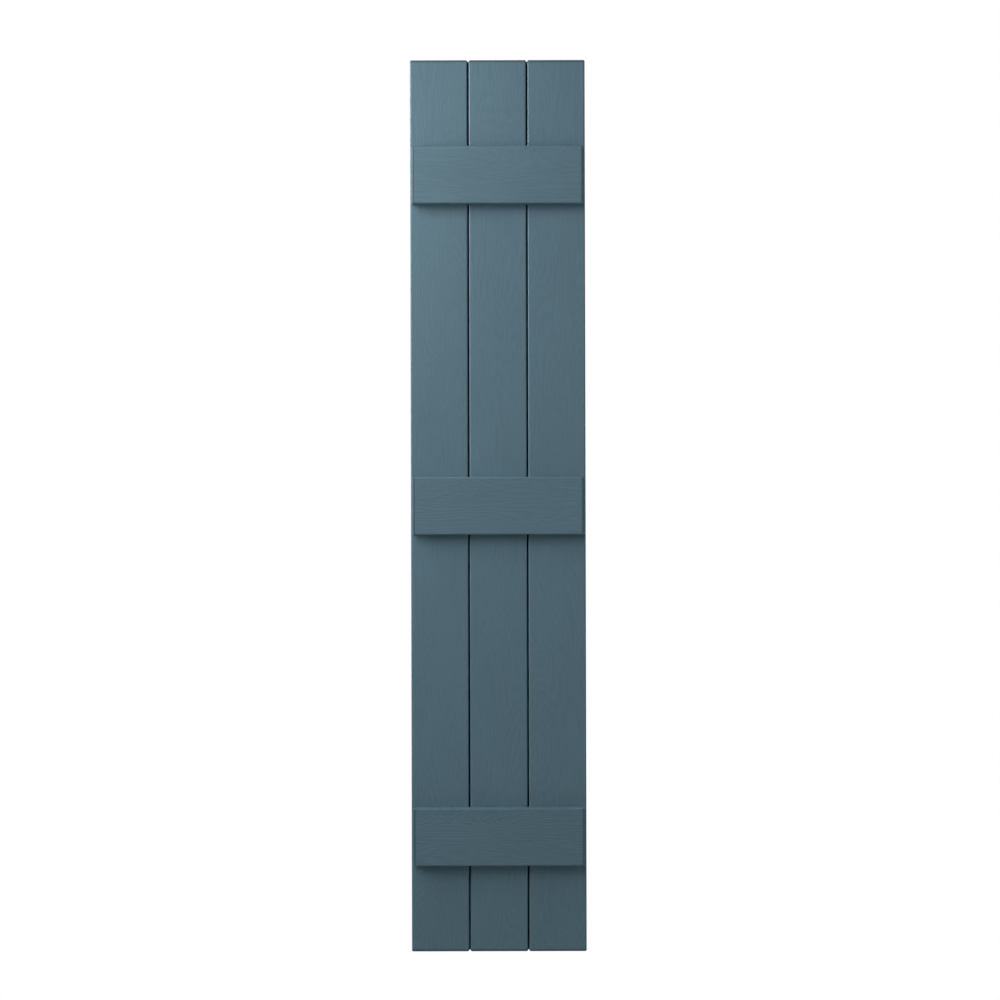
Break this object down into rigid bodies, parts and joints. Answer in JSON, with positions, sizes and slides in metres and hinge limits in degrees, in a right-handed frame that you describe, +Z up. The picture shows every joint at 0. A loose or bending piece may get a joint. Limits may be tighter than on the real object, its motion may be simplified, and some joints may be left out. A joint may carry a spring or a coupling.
{
  "type": "board and batten shutter",
  "caption": "Fixed exterior window shutter: hollow slate-blue vinyl boards joined edge to edge by back lips, with raised cross battens on the front and a plug-in cap on every profile end.",
  "frame": {"origin": "centre of the flat back of the centre board, at mid width and mid height, on the plane that lies against the wall", "axes": "+X to the right seen from the front, +Y out of the back towards the wall, +Z up along the boards"},
  "size_m": [0.274, 0.0318, 1.397],
  "materials": {
    "board_vinyl": "satin slate-blue vinyl with fine embossed wood grain along the board",
    "batten_vinyl": "satin slate-blue vinyl with fine embossed wood grain along the batten",
    "cap_vinyl": "smooth moulded vinyl, a shade darker than the boards",
    "screw_steel": "zinc-plated steel of the screws behind the battens"
  },
  "bodies": {
    "root": {"board_left": "board_vinyl", "board_centre": "board_vinyl", "board_right": "board_vinyl", "board_left_cap_top": "cap_vinyl", "board_left_cap_bottom": "cap_vinyl", "board_centre_cap_top": "cap_vinyl", "board_centre_cap_bottom": "cap_vinyl", "board_right_cap_top": "cap_vinyl", "board_right_cap_bottom": "cap_vinyl", "batten_top": "batten_vinyl", "batten_middle": "batten_vinyl", "batten_bottom": "batten_vinyl", "batten_top_cap_left": "cap_vinyl", "batten_top_cap_right": "cap_vinyl", "batten_middle_cap_left": "cap_vinyl", "batten_middle_cap_right": "cap_vinyl", "batten_bottom_cap_left": "cap_vinyl", "batten_bottom_cap_right": "cap_vinyl"}
  },
  "joints": []
}
